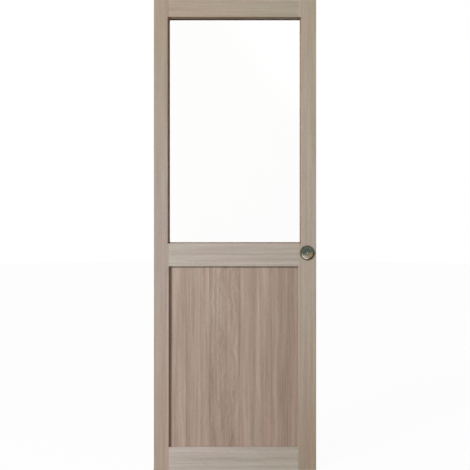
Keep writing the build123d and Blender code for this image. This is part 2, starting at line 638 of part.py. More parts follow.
def wheel_axles():
    """Pins with a riveted head at each end, one pair of wheels on each."""
    hub_face = WHEEL_OFFSET + WHEEL_WIDTH / 2
    head_z = (hub_face + HEAD_GAP, hub_face + HEAD_GAP + AXLE_HEAD)
    pin = peg(AXLE_RADIUS, (-head_z[1], head_z[1]))
    pin += peg(AXLE_HEAD_RADIUS, head_z) + peg(AXLE_HEAD_RADIUS, (-head_z[1], -head_z[0]))
    places = [x for centre in CARRIAGE_XS.values() for x in axle_places(centre)]
    return [Pos(x, 0, AXLE_Z) * Rot(90, 0, 0) * pin for x in places]


def wheel(x, side):
    """A moulded wheel: crowned tread, a recess between rim and hub, and a hub boss towards the carriage."""
    inner, outer = -WHEEL_WIDTH / 2, WHEEL_WIDTH / 2
    boss = CARRIAGE_WIDTH / 2 + SIDE_GAP - WHEEL_OFFSET
    bore = AXLE_RADIUS + RUNNING_CLEARANCE
    rim = WHEEL_RADIUS - WHEEL_RIM
    shoulder = WHEEL_RADIUS - WHEEL_CROWN
    outline = [
        Polyline(
            (shoulder, 0, inner),
            (rim, 0, inner),
            (rim, 0, inner + WHEEL_RECESS),
            (WHEEL_HUB_RADIUS, 0, inner + WHEEL_RECESS),
            (WHEEL_HUB_RADIUS, 0, boss),
            (bore, 0, boss),
            (bore, 0, outer),
            (WHEEL_HUB_RADIUS, 0, outer),
            (WHEEL_HUB_RADIUS, 0, outer - WHEEL_RECESS),
            (rim, 0, outer - WHEEL_RECESS),
            (rim, 0, outer),
            (shoulder, 0, outer),
        ),
        ThreePointArc((shoulder, 0, outer), (WHEEL_RADIUS, 0, 0), (shoulder, 0, inner)),
    ]
    solid = revolve(make_face(outline), Axis.Z, 360)
    return Pos(x, side * WHEEL_OFFSET, AXLE_Z) * Rot(-90 * side, 0, 0) * solid


def wheels():
    """Four wheels to a carriage, numbered from the left, front before back."""
    parts = {}
    for name, centre in CARRIAGE_XS.items():
        places = [(x, side) for x in axle_places(centre) for side in (-1, 1)]
        for number, (x, side) in enumerate(places, start=1):
            parts[f"{name}_wheel_{number}"] = wheel(x, side)
    return parts


def screw_places():
    """The x and y of the eight wood screws."""
    return [
        (centre + i * SCREW_PITCH_X / 2, j * SCREW_PITCH_Y / 2)
        for centre in CARRIAGE_XS.values()
        for i in (-1, 1)
        for j in (-1, 1)
    ]


def plate_screws(grow=0.0):
    """The wood screws of both hanger plates, or with grow the holes that they fill."""
    screw = countersunk_screw(SCREW_RADIUS, SCREW_HEAD_RADIUS, SCREW_LENGTH, SCREW_TIP, grow)
    head_z = LEAF_Z[1] + PLATE_THICKNESS
    return [Pos(x, y, head_z) * screw for x, y in screw_places()]


def hanger_plate(x):
    """A hat-shaped strip on the leaf's top edge, with room under its web for the bolt's head."""
    half = PLATE_THICKNESS / 2
    low, high = LEAF_Z[1] + half, WEB_Z[0] + half
    web, foot, end = PLATE_WEB / 2, PLATE_WEB / 2 + PLATE_SLOPE, PLATE_LENGTH / 2
    hat = FilletPolyline(
        (-end, low), (-foot, low), (-web, high), (web, high), (foot, low), (end, low),
        radius=PLATE_BEND,
    )
    section = Plane.XZ * trace(hat, PLATE_THICKNESS)
    strip = extrude(section, PLATE_WIDTH / 2, both=True)
    ends = strip.edges().filter_by(Axis.Z).group_by(Axis.X)
    strip = fillet(ends[0] + ends[-1], PLATE_CORNER)
    strip -= peg(HANGER_BOLT_RADIUS + HANGER_BOLT_CLEARANCE, grown(WEB_Z, CUT_PAST))
    strip = Pos(x, 0, 0) * strip
    for screw in plate_screws(SCREW_FIT):
        strip -= screw
    return strip


def suspension_bolt(x):
    """A hexagon-head bolt from under the plate's web, up through the track's slot into the carriage."""
    head = hexagon(HANGER_BOLT_FLATS, (WEB_Z[0] - HANGER_BOLT_HEAD, WEB_Z[0]), both_faces=False)
    return Pos(x, 0, 0) * (head + peg(HANGER_BOLT_RADIUS, (WEB_Z[0], CARRIAGE_Z[1])))


def lock_nuts():
    """A nut on each suspension bolt, tightened down on the plate's web."""
    z = (WEB_Z[1], WEB_Z[1] + LOCK_NUT_HEIGHT)
    nut = hexagon(HANGER_BOLT_FLATS, z, bore=HANGER_BOLT_RADIUS + FIT_CLEARANCE)
    return [Pos(x, 0, 0) * nut for x in CARRIAGE_XS.values()]


def floor_guide():
    """A moulded foot with a thin fin that runs in the leaf's groove."""
    base = extrude(RectangleRounded(GUIDE_LENGTH, GUIDE_WIDTH, GUIDE_CORNER), GUIDE_BASE)
    base = chamfer(base.faces().sort_by(Axis.Z)[-1].edges(), GUIDE_ARRIS)
    fin_z = (GUIDE_BASE, LEAF_Z[0] + GUIDE_GROOVE_DEPTH - GUIDE_TOP_GAP)
    fin_x = grown((0, 0), GUIDE_FIN_LENGTH / 2)
    fin_y = grown((0, 0), GUIDE_FIN_THICKNESS / 2)
    fin = slab(fin_x, fin_y, fin_z)
    rounded = fin.edges().filter_by(Axis.Z) + fin.edges().filter_by(Axis.X).group_by(Axis.Z)[-1]
    fin = fillet(rounded, GUIDE_FIN_ROUND)
    guide = base + fin
    foot = guide.edges().filter_by_position(Axis.Z, *grown((GUIDE_BASE, GUIDE_BASE), PICK))
    foot = foot.filter_by_position(Axis.Y, *grown(fin_y, PICK))
    foot = foot.filter_by_position(Axis.X, *grown(fin_x, PICK))
    guide = fillet(foot, GUIDE_FOOT_ROUND)
    sink = GUIDE_SINK_RADIUS - GUIDE_HOLE_RADIUS
    outline = [
        (0, -CUT_PAST),
        (GUIDE_HOLE_RADIUS, -CUT_PAST),
        (GUIDE_HOLE_RADIUS, GUIDE_BASE - sink),
        (GUIDE_SINK_RADIUS, GUIDE_BASE),
        (GUIDE_SINK_RADIUS, GUIDE_BASE + CUT_PAST),
        (0, GUIDE_BASE + CUT_PAST),
    ]
    for side in (-1, 1):
        guide -= Pos(side * GUIDE_HOLE_SPACING / 2, 0, 0) * turned(outline)
    return guide


def build_nodes():
    """Every piece by its node's name."""
    nodes = track()
    for number, x in enumerate(BRACKET_XS, start=1):
        nodes[f"wall_bracket_{number}"] = wall_bracket(x)
    nodes["track_bolts"] = track_bolts()
    nodes["track_nuts"] = track_nuts()
    for name, side in (("left", -1), ("right", 1)):
        nodes[f"end_stop_{name}"] = end_stop(side)
        nodes[f"stop_buffer_{name}"] = stop_buffer(side)
    nodes["stop_screws"] = stop_screws()
    nodes["floor_guide"] = floor_guide()
    nodes.update(leaf_frame())
    nodes["dowels"] = dowel_set(chamfer_size=DOWEL_CHAMFER)
    nodes["lower_panel"] = lower_panel()
    nodes["glass_pane"] = glass_pane()
    nodes["glazing_gasket"] = glazing_gasket()
    nodes["setting_blocks"] = setting_blocks()
    nodes.update(glazing_beads())
    nodes["cup_pull_front"] = cup_pull(-1)
    nodes["cup_pull_back"] = cup_pull(1)
    for name, x in CARRIAGE_XS.items():
        nodes[f"hanger_plate_{name}"] = hanger_plate(x)
        nodes[f"suspension_bolt_{name}"] = suspension_bolt(x)
        nodes[f"carriage_{name}"] = carriage(x)
    nodes["hanger_screws"] = plate_screws()
    nodes["lock_nuts"] = lock_nuts()
    nodes["wheel_axles"] = wheel_axles()
    nodes.update(wheels())
    return nodes


os.makedirs("parts", exist_ok=True)
for node, shape in build_nodes().items():
    solid = Compound(children=shape) if isinstance(shape, list) else shape
    export_step(solid, f"parts/{node}.step")
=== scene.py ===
"""Looks of the sliding glazed door: greyed oak, clear glass, nickel cup pulls and an aluminium head track."""
import math

import bmesh
import bpy
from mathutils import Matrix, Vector

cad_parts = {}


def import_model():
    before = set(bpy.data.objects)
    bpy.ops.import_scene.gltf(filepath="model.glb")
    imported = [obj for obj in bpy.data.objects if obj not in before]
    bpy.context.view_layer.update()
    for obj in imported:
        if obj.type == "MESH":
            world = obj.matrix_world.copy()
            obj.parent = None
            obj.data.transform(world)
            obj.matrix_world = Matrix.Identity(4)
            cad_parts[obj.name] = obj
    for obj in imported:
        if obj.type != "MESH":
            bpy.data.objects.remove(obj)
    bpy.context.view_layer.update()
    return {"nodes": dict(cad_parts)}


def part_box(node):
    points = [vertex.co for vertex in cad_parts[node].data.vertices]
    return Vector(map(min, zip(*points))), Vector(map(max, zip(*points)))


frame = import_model()
nodes = frame["nodes"]

# Places read from the frame, in metres
LEAF_LOW = Vector(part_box("rear_stile")[0])
LEAF_HIGH = Vector(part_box("pull_stile")[1])
PANEL_LOW = Vector(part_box("lower_panel")[0])
PANEL_HIGH = Vector(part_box("lower_panel")[1])
LEAF_FRONT = LEAF_LOW.y

# The photograph: its width and where the leaf's edges and the eye lie in it, and the eye's place in metres
PICTURE_PX = 470
LEAF_LEFT_PX = 153.8
LEAF_RIGHT_PX = 316.2
LEAF_TOP_PX = -0.3
EYE_X_PX = 262.0
EYE_Z = 1.15
EYE_DISTANCE = 2.93
SENSOR_MM = 36.0

# The key is a sun at the upper left, the strip a tall lamp at the left, and the fill comes from all round
KEY_AZIMUTH = math.radians(44.0)
KEY_ELEVATION = math.radians(25.0)
KEY_STRENGTH = 2.13
KEY_ANGLE = math.radians(9.0)
STRIP_POWER = 36.0
STRIP_FROM_MIDDLE = Vector((-2.5, -1.7, 0.2))
STRIP_SIZE = (0.7, 2.6)
FILL_ABOVE = (0.4, 0.39, 0.38, 1.0)
FILL_BELOW = (0.12, 0.096, 0.074, 1.0)


def srgb(red, green, blue):
    """A colour written in 0-255 sRGB, as the linear colour that shaders take."""
    linear = []
    for value in (red, green, blue):
        value /= 255
        linear.append(value / 12.92 if value <= 0.04045 else ((value + 0.055) / 1.055) ** 2.4)
    return (*linear, 1.0)


# The floor, how much of it as it is seen is a plain white glow, and its colour as it is seen, as it throws
# light back up and as metal mirrors it
FLOOR_RADIUS = 14.0
FLOOR_SIDES = 64
FLOOR_GLOW = 0.96
FLOOR_WHITE = (0.86, 0.86, 0.86, 1.0)
FLOOR_BOUNCE = (0.46, 0.42, 0.375, 1.0)
FLOOR_MIRRORED = srgb(100, 122, 124)

WHITE = (1.0, 1.0, 1.0, 1.0)

# The room that metal mirrors: its left side, and what is blended over that, one after another. Each has the
# way in which it lies, how far a ray is turned that way where it starts to show and shows fully, and its
# colour.
ROOM_LEFT = srgb(86, 66, 54)
ROOM_RIGHT = ((1.0, -0.2, -0.4), -0.3, 0.4, srgb(104, 120, 116))
ROOM_FRONT = ((-0.2, -1.0, 0.2), 0.935, 0.995, srgb(210, 189, 165))
ROOM_WINDOW = ((0.35, -0.82, 0.46), 0.885, 0.925, (1.65, 1.62, 1.66, 1.0))
ROOM_BEHIND = ((0.0, 1.0, 0.0), 0.0, 0.5, WHITE)

# Where the fill light turns from its colour below to its colour above
FILL_TURN = ((0.0, 0.0, 1.0), -0.7, 0.9)


# The factor and the two colours of a Mix node among its inputs, and the colour among its outputs
MIX_INPUTS = (0, 6, 7)
MIX_OUTPUT = 2


class Tree:
    """The nodes of one material. Calls named for a kind of node add one and give back its output socket."""

    def __init__(self, name):
        self.material = bpy.data.materials.new(name)
        self.material.use_nodes = True
        self.nodes = self.material.node_tree.nodes
        self.links = self.material.node_tree.links
        self.shader = self.nodes["Principled BSDF"]
        self.output = self.nodes["Material Output"]

    def put(self, socket, value):
        """Links a socket into an input, or sets the input to a plain value."""
        if isinstance(value, bpy.types.NodeSocket):
            self.links.new(value, socket)
        else:
            socket.default_value = value

    def add(self, kind, settings=None, **inputs):
        """A node with its settings, and its inputs by name with spaces written as underscores."""
        node = self.nodes.new(kind)
        for key, value in (settings or {}).items():
            setattr(node, key, value)
        for key, value in inputs.items():
            self.put(node.inputs[key.replace("_", " ")], value)
        return node

    def place(self):
        """A point on the piece, in metres in the door's own frame."""
        return self.add("ShaderNodeTexCoord").outputs["Object"]

    def math(self, operation, first, second=0.0, clamp=False):
        node = self.add("ShaderNodeMath", {"operation": operation, "use_clamp": clamp})
        self.put(node.inputs[0], first)
        self.put(node.inputs[1], second)
        return node.outputs[0]

    def stretch(self, vector, scale, shift=(0.0, 0.0, 0.0)):
        """The vector scaled and then moved, axis by axis."""
        node = self.add("ShaderNodeVectorMath", {"operation": "MULTIPLY_ADD"})
        self.put(node.inputs[0], vector)
        node.inputs[1].default_value = scale
        node.inputs[2].default_value = shift
        return node.outputs[0]

    def noise(self, vector, detail=2.0, roughness=0.5):
        """Noise with lumps about one unit across, around 0.5."""
        node = self.add("ShaderNodeTexNoise", Vector=vector, Scale=1.0, Detail=detail, Roughness=roughness)
        return node.outputs["Fac"]

    def ramp(self, factor, stops):
        """A colour ramp from (position, colour) stops."""
        node = self.add("ShaderNodeValToRGB", Fac=factor)
        band = node.color_ramp
        while len(band.elements) < len(stops):
            band.elements.new(1.0)
        for element, (position, colour) in zip(band.elements, stops):
            element.position = position
            element.color = colour
        return node.outputs["Color"]

    def levels(self, factor, low, high, to_low=0.0, to_high=1.0):
        """The factor's range from low to high spread over a new range, and held at its ends."""
        node = self.add("ShaderNodeMapRange", {"clamp": True})
        self.put(node.inputs["Value"], factor)
        for key, value in (("From Min", low), ("From Max", high), ("To Min", to_low), ("To Max", to_high)):
            node.inputs[key].default_value = value
        return node.outputs["Result"]

    def mix(self, factor, first, second, blend="MIX"):
        node = self.add("ShaderNodeMix", {"data_type": "RGBA", "blend_type": blend})
        for place, value in zip(MIX_INPUTS, (factor, first, second)):
            self.put(node.inputs[place], value)
        return node.outputs[MIX_OUTPUT]

    def split(self, vector):
        return self.add("ShaderNodeSeparateXYZ", Vector=vector).outputs

    def join(self, x, y, z):
        return self.add("ShaderNodeCombineXYZ", X=x, Y=y, Z=z).outputs[0]

    def bump(self, height, distance, strength=1.0):
        """A small relief, with its height in metres at factor 1."""
        node = self.add("ShaderNodeBump", Height=height, Distance=distance, Strength=strength)
        self.links.new(node.outputs["Normal"], self.shader.inputs["Normal"])

    def set(self, **inputs):
        """Sets or links inputs of the Principled shader."""
        for key, value in inputs.items():
            self.put(self.shader.inputs[key.replace("_", " ")], value)


# The glazed opening's sight line, from the pane's edge, and the painted shade round it: how much of its
# colour the wood keeps in the step, on the beads and in the rear stile's step, standing for the shade in the
# recess round the glass. The fades are how far outside the line the painted shade starts to give way to the
# full colour and has done so.
GLASS_COVER = 0.008
STEP_WIDTH = 0.0045
STEP_PAINTED_SHADE = (0.79, 0.68, 0.61, 1.0)
BEAD_PAINTED_SHADE = (0.5, 0.42, 0.35, 1.0)
REAR_PAINTED_SHADE = (1.0, 0.92, 0.86, 1.0)
STEP_PAINTED_SHADE_FADE = (STEP_WIDTH + 0.0002, STEP_WIDTH + 0.0008)
BEAD_PAINTED_SHADE_FADE = (0.0002, 0.0025)
SIGHT_LOW = Vector(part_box("glass_pane")[0]) + Vector((GLASS_COVER, 0.0, GLASS_COVER))
SIGHT_HIGH = Vector(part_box("glass_pane")[1]) - Vector((GLASS_COVER, 0.0, GLASS_COVER))

# Oak. Each noise in it is given by its lumps per metre across and along the grain, its detail and its
# roughness.
# The layers of the grain, with the share that each has of the tone
GRAIN = {
    "broad": ((34.0, 1.1, 2.0, 0.5), 0.3),
    "bands": ((92.0, 1.6, 3.0, 0.55), 0.3),
    "streaks": ((300.0, 4.5, 4.0, 0.62), 0.28),
    "fibres": ((1400.0, 34.0, 2.0, 0.5), 0.12),
}
# The colours that tones stand for, as shares of a board's lightest grain
GRAIN_MIDDLE = (0.794, 0.762, 0.732, 1.0)
GRAIN_TONES = ((0.3, WHITE), (0.5, GRAIN_MIDDLE), (0.74, (0.55, 0.49, 0.45, 1.0)))
# How the grain wanders over a long and over a short way, and how far from side to side in metres
GRAIN_BENDS = (((5.0, 1.4, 2.0, 0.5), 0.016), ((26.0, 6.5, 2.0, 0.6), 0.009))
# The pores, the part of their noise that shows, how strongly they show, and their colour
PORE_NOISE = (2300.0, 75.0, 1.0, 0.4)
PORE_LEVELS = (0.6, 0.68)
PORE_SHARE = 0.55
PORE_DARK = srgb(96, 78, 64)
# Patches of two tints
TINT_NOISE = (24.0, 2.2, 2.0, 0.5)
TINT_LEVELS = (0.36, 0.64)
PINK = (1.0, 0.96, 0.945, 1.0)
GREEN = (0.975, 0.99, 0.955, 1.0)
OAK_ROUGHNESS = (0.5, 0.62)
OAK_SPECULAR = 0.35
FIBRE_RELIEF = 0.35
RELIEF_DEPTH = 0.00008

# Each board's colour from the low to the high end of its grain, and the heights where a stile has its colours
STILE_CHANGE = (0.1, 1.1, 2.0)
STILE_CONTRAST = 0.8
PANEL_CONTRAST = 1.35
REAR_STILE = (srgb(174, 157, 145), srgb(172, 161, 154), srgb(171, 157, 142))
# The pull stile's darker, browner low end is partly its wood's own tone and partly painted shade, the fall of
# light towards the lower right
PULL_STILE = (srgb(161, 144, 129), srgb(180, 170, 160), srgb(178, 165, 150))
TOP_RAIL = (srgb(176, 161, 146), srgb(171, 163, 147))
MID_RAIL = (srgb(188, 181, 175), srgb(179, 170, 161))
BOTTOM_RAIL = (srgb(185, 177, 172), srgb(171, 163, 153))
BEAD = (srgb(172, 158, 144), srgb(172, 158, 144))
PANEL = (srgb(165, 147, 135), srgb(170, 154, 142))


def board_space(tree, along):
    """A point as its place across the grain, through the thickness and along the grain."""
    spot = tree.split(tree.place())
    if along == "Z":
        return tree.join(spot["X"], spot["Y"], spot["Z"])
    return tree.join(spot["Z"], spot["Y"], spot["X"])


def light_grain(colour):
    """The colour of a board's lightest grain, from its middle colour."""
    return tuple(value / share for value, share in zip(colour, GRAIN_MIDDLE))


def wood_noise(tree, board, look, shift=(0.0, 0.0, 0.0)):
    """Noise drawn out along a board's grain."""
    across, along, detail, roughness = look
    return tree.noise(tree.stretch(board, (across, across, along), shift), detail, roughness)


def oak(name, along, seed, ends, span, contrast=1.0, shade=STEP_PAINTED_SHADE, fade=STEP_PAINTED_SHADE_FADE):
    """One straight-grained board, from its colours at places along the grain.

    Its shade is a painted shade for the shade in the recess round the glass: what it keeps of its colour at
    the sight line of the glass, and this fades out with distance.
    """
    tree = Tree(name)
    # Painted shade: the wood darkened and warmed near the glass's sight line, for the shade in the recess
    # there
    dark = tree.mix(tree.levels(beyond_sight(tree), *fade), shade, WHITE)
    finish_oak(tree, board_space(tree, along), seed, ends, span, contrast, shade=dark)
    return tree.material


def beyond_sight(tree):
    """How far a point lies outside the glazed opening's sight line, in metres, below 0 inside it."""
    parts = tree.split(tree.place())
    centre = (SIGHT_LOW + SIGHT_HIGH) / 2
    half = (SIGHT_HIGH - SIGHT_LOW) / 2
    past = []
    for axis, middle, reach in (("X", centre.x, half.x), ("Z", centre.z, half.z)):
        off = tree.math("ABSOLUTE", tree.math("SUBTRACT", parts[axis], middle))
        past.append(tree.math("SUBTRACT", off, reach))
    return tree.math("MAXIMUM", *past)


def finish_oak(tree, board, seed, ends, span, contrast, figure=None, line=None, shade=None):
    """Colours, pores, roughness and relief of greyed oak, with a figure, dark lines and painted shade added
    if given.
    """
    shift = (seed * 3.7, seed * 1.3, seed * 5.1)
    parts = tree.split(board)
    bent = parts["X"]
    for look, reach in GRAIN_BENDS:
        bend = tree.math("SUBTRACT", wood_noise(tree, board, look, shift), 0.5)
        bent = tree.math("ADD", bent, tree.math("MULTIPLY", bend, reach))
    grain = tree.join(bent, parts["Y"], parts["Z"])
    layers = {}
    tone = 0.0
    for layer, (look, weight) in GRAIN.items():
        layers[layer] = wood_noise(tree, grain, look, shift)
        tone = tree.math("ADD", tone, tree.math("MULTIPLY", layers[layer], weight))
    if figure is not None:
        tone = tree.math("ADD", tone, figure)
    tone = tree.math("ADD", tree.math("MULTIPLY", tree.math("SUBTRACT", tone, 0.5), contrast), 0.5)
    share = tree.ramp(tone, GRAIN_TONES)
    base = light_grain(ends[0])
    for low, high, end in zip(span, span[1:], ends[1:]):
        base = tree.mix(tree.levels(parts["Z"], low, high), base, light_grain(end))
    colour = tree.mix(1.0, base, share, "MULTIPLY")
    tint = wood_noise(tree, board, TINT_NOISE, (seed, seed * 2.0, seed * 0.7))
    colour = tree.mix(1.0, colour, tree.mix(tree.levels(tint, *TINT_LEVELS), PINK, GREEN), "MULTIPLY")
    pores = tree.levels(wood_noise(tree, grain, PORE_NOISE, shift), *PORE_LEVELS)
    pores = tree.math("MULTIPLY", pores, tree.levels(layers["streaks"], 0.4, 0.6, 0.25, 0.8))
    if line is not None:
        pores = tree.math("MAXIMUM", pores, line)
    colour = tree.mix(tree.math("MULTIPLY", pores, PORE_SHARE), colour, PORE_DARK)
    # The painted shade of the recess round the glass, multiplied into the colour
    if shade is not None:
        colour = tree.mix(1.0, colour, shade, "MULTIPLY")
    relief = tree.math("SUBTRACT", tree.math("MULTIPLY", layers["fibres"], FIBRE_RELIEF), pores)
    tree.set(Base_Color=colour, Roughness=tree.levels(layers["streaks"], 0.3, 0.7, *OAK_ROUGHNESS))
    tree.shader.inputs["Specular IOR Level"].default_value = OAK_SPECULAR
    tree.bump(relief, RELIEF_DEPTH, 0.6)


# The panel's staves, as the places of the joints between them measured from its left edge, and their tones
STAVE_JOINTS = (0.086, 0.192, 0.328, 0.470, 0.545)
STAVE_TONES = (-0.044, -0.022, 0.026, 0.0, 0.052, 0.04)
HEART_STAVE = (STAVE_JOINTS[1], STAVE_JOINTS[2])
# A joint's line: its reach to each side in metres, how dark it is, and what is left of this where it fades
JOINT_LINE = 0.0016
JOINT_DARK = 0.8
JOINT_LEFT = 0.25
# The depth in the noise that lies between one stave and the next
STAVE_STEP = 0.37
# The wavy figure: its sway and how far that goes from side to side in metres, its flames, its strength in the
# tone, and the share of it that shows outside the heart stave
SWAY_NOISE = (11.0, 7.0, 3.0, 0.62)
SWAY_SHIFT = (1.7, 0.4, 2.9)
SWAY_REACH = 0.1
FLAME_NOISE = (90.0, 6.0, 2.0, 0.5)
FIGURE_STRENGTH = 0.065
FIGURE_ELSEWHERE = 0.3


def panel_oak():
    """The lower panel: staves of different tone with fine joints, and a wavy heart figure in one of them."""
    tree = Tree("oak_panel")
    board = board_space(tree, "Z")
    parts = tree.split(board)
    from_left = tree.math("SUBTRACT", parts["X"], PANEL_LOW.x)
    stave = 0.0
    tone = STAVE_TONES[0]
    line = 0.0
    for joint, before, after in zip(STAVE_JOINTS, STAVE_TONES, STAVE_TONES[1:]):
        past = tree.math("GREATER_THAN", from_left, joint)
        stave = tree.math("ADD", stave, past)
        tone = tree.math("ADD", tone, tree.math("MULTIPLY", past, after - before))
        off = tree.math("ABSOLUTE", tree.math("SUBTRACT", from_left, joint))
        line = tree.math("MAXIMUM", line, tree.levels(off, JOINT_LINE * 0.4, JOINT_LINE, JOINT_DARK, 0.0))
    fade = tree.noise(tree.stretch(board, (30.0, 0.0, 3.0)), 1.0)
    line = tree.math("MULTIPLY", line, tree.levels(fade, 0.36, 0.52, JOINT_LEFT, 1.0))
    depth = tree.math("ADD", parts["Y"], tree.math("MULTIPLY", stave, STAVE_STEP))
    own = tree.join(parts["X"], depth, parts["Z"])
    figure = tree.math("MULTIPLY", wavy_figure(tree, own), in_heart(tree, from_left))
    tone = tree.math("ADD", tone, figure)
    finish_oak(tree, own, 7.0, PANEL, (PANEL_LOW.z, PANEL_HIGH.z), PANEL_CONTRAST, tone, line)
    return tree.material


def in_heart(tree, from_left):
    """How strong the figure is: fully in the heart stave, and a little in the others."""
    inside = tree.math("MULTIPLY", tree.math("GREATER_THAN", from_left, HEART_STAVE[0]),
                       tree.math("LESS_THAN", from_left, HEART_STAVE[1]))
    return tree.levels(inside, 0.0, 1.0, FIGURE_ELSEWHERE, 1.0)


def wavy_figure(tree, board):
    """Growth rings cut at a slant: flames that waver along the board, as a change of tone."""
    sway = tree.math("SUBTRACT", wood_noise(tree, board, SWAY_NOISE, SWAY_SHIFT), 0.5)
    parts = tree.split(board)
    side = tree.math("ADD", parts["X"], tree.math("MULTIPLY", sway, SWAY_REACH))
    flames = wood_noise(tree, tree.join(side, parts["Y"], parts["Z"]), FLAME_NOISE)
    return tree.levels(flames, 0.3, 0.7, -FIGURE_STRENGTH, FIGURE_STRENGTH)


def plain(name, colour, roughness, metallic=0.0):
    """A material with one colour to start from."""
    tree = Tree(name)
    tree.set(Base_Color=colour, Roughness=roughness, Metallic=metallic)
    return tree


# The share of a lamp's light that the pane lets through
GLASS_TINT = (0.95, 0.97, 0.96, 1.0)


def clear_glass():
    """Clear float glass that lets lamp rays through."""
    tree = plain("clear_glass", WHITE, 0.0)
    tree.set(Transmission_Weight=1.0, IOR=1.45)
    see = tree.add("ShaderNodeBsdfTransparent", Color=GLASS_TINT)
    lamp = tree.add("ShaderNodeLightPath").outputs["Is Shadow Ray"]
    pane = tree.add("ShaderNodeMixShader", Fac=lamp)
    tree.links.new(tree.shader.outputs[0], pane.inputs[1])
    tree.links.new(see.outputs[0], pane.inputs[2])
    tree.links.new(pane.outputs[0], tree.output.inputs["Surface"])
    return tree.material


def dusty(name, colour, worn, roughness, metallic=0.0, size=90.0, relief=0.0):
    """A moulded, cast or rubber surface: faint mottling of colour and roughness, and a fine relief."""
    tree = plain(name, colour, roughness, metallic)
    patches = tree.noise(tree.stretch(tree.place(), (size, size, size)), 4.0, 0.6)
    tree.set(Base_Color=tree.mix(tree.levels(patches, 0.35, 0.7), colour, worn))
    tree.set(Roughness=tree.levels(patches, 0.3, 0.7, roughness - 0.07, roughness + 0.07))
    if relief:
        grit = tree.noise(tree.stretch(tree.place(), (2600.0, 2600.0, 2600.0)), 1.0)
        tree.bump(grit, relief)
    return tree.material


def track_aluminium():
    """Extruded aluminium, a little cloudy, with fine lines along the track."""
    colour = srgb(206, 208, 210)
    tree = plain("track_aluminium", colour, 0.36, 1.0)
    lines = tree.noise(tree.stretch(tree.place(), (3.0, 1700.0, 1700.0)), 3.0, 0.6)
    cloud = tree.noise(tree.stretch(tree.place(), (40.0, 40.0, 40.0)), 3.0)
    tree.set(Roughness=tree.levels(lines, 0.3, 0.7, 0.3, 0.44))
    shade = (*[0.86 * value for value in colour[:3]], 1.0)
    tree.set(Base_Color=tree.mix(tree.levels(cloud, 0.3, 0.75), colour, shade))
    tree.bump(lines, 0.00002)
    return tree.material


def plated_steel():
    """Zinc-plated steel: cool, cloudy, with a hint of blue and straw."""
    colour = srgb(188, 192, 196)
    tree = plain("plated_steel", colour, 0.34, 1.0)
    cloud = tree.noise(tree.stretch(tree.place(), (120.0, 120.0, 120.0)), 5.0, 0.65)
    tint = tree.ramp(cloud, [(0.32, srgb(168, 176, 188)), (0.5, colour), (0.7, srgb(196, 190, 176))])
    tree.set(Base_Color=tint, Roughness=tree.levels(cloud, 0.3, 0.7, 0.28, 0.42))
    tree.bump(tree.noise(tree.stretch(tree.place(), (900.0, 900.0, 900.0)), 2.0), 0.00003, 0.5)
    return tree.material


# Where the cup turns satin at its rim, as shares of its radius, and how rough it is there
RIM_SATIN = (0.9, 0.93, 0.5)
# Lathe lines in a metre of radius
LATHE_LINES = 4200.0


def nickel():
    """Nickel with fine lathe lines round the cup's axis, polished inside and satin on the rim."""
    tree = plain("pull_nickel", srgb(196, 186, 168), 0.16, 1.0)
    low, high = (Vector(corner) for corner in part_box("cup_pull_front"))
    centre = (low + high) / 2
    reach = (high.x - low.x) / 2
    parts = tree.split(tree.stretch(tree.place(), (1.0, 1.0, 1.0), (-centre.x, 0.0, -centre.z)))
    radius = tree.math("SQRT", tree.math("ADD", tree.math("MULTIPLY", parts["X"], parts["X"]),
                                         tree.math("MULTIPLY", parts["Z"], parts["Z"])))
    turns = tree.noise(tree.join(tree.math("MULTIPLY", radius, LATHE_LINES), parts["Y"], 0.0), 2.0, 0.6)
    smudge = tree.noise(tree.stretch(tree.place(), (70.0, 70.0, 70.0)), 4.0, 0.6)
    rough = tree.levels(smudge, 0.3, 0.75, 0.1, 0.22)
    starts, full, satin = RIM_SATIN
    rim = tree.levels(radius, starts * reach, full * reach, 0.0, satin)
    tree.set(Roughness=tree.math("MAXIMUM", rough, rim))
    tree.bump(turns, 0.000004, 0.6)
    return tree.material


# The nodes that together are the extruded track
TRACK_LIMBS = ("track_top", "track_wall_front", "track_wall_back", "track_lip_front", "track_lip_back")


def assign(material, *names):
    """Gives CAD nodes their material."""
    for name in names:
        data = nodes[name].data
        data.materials.clear()
        data.materials.append(material)
        for face in data.polygons:
            face.material_index = 0


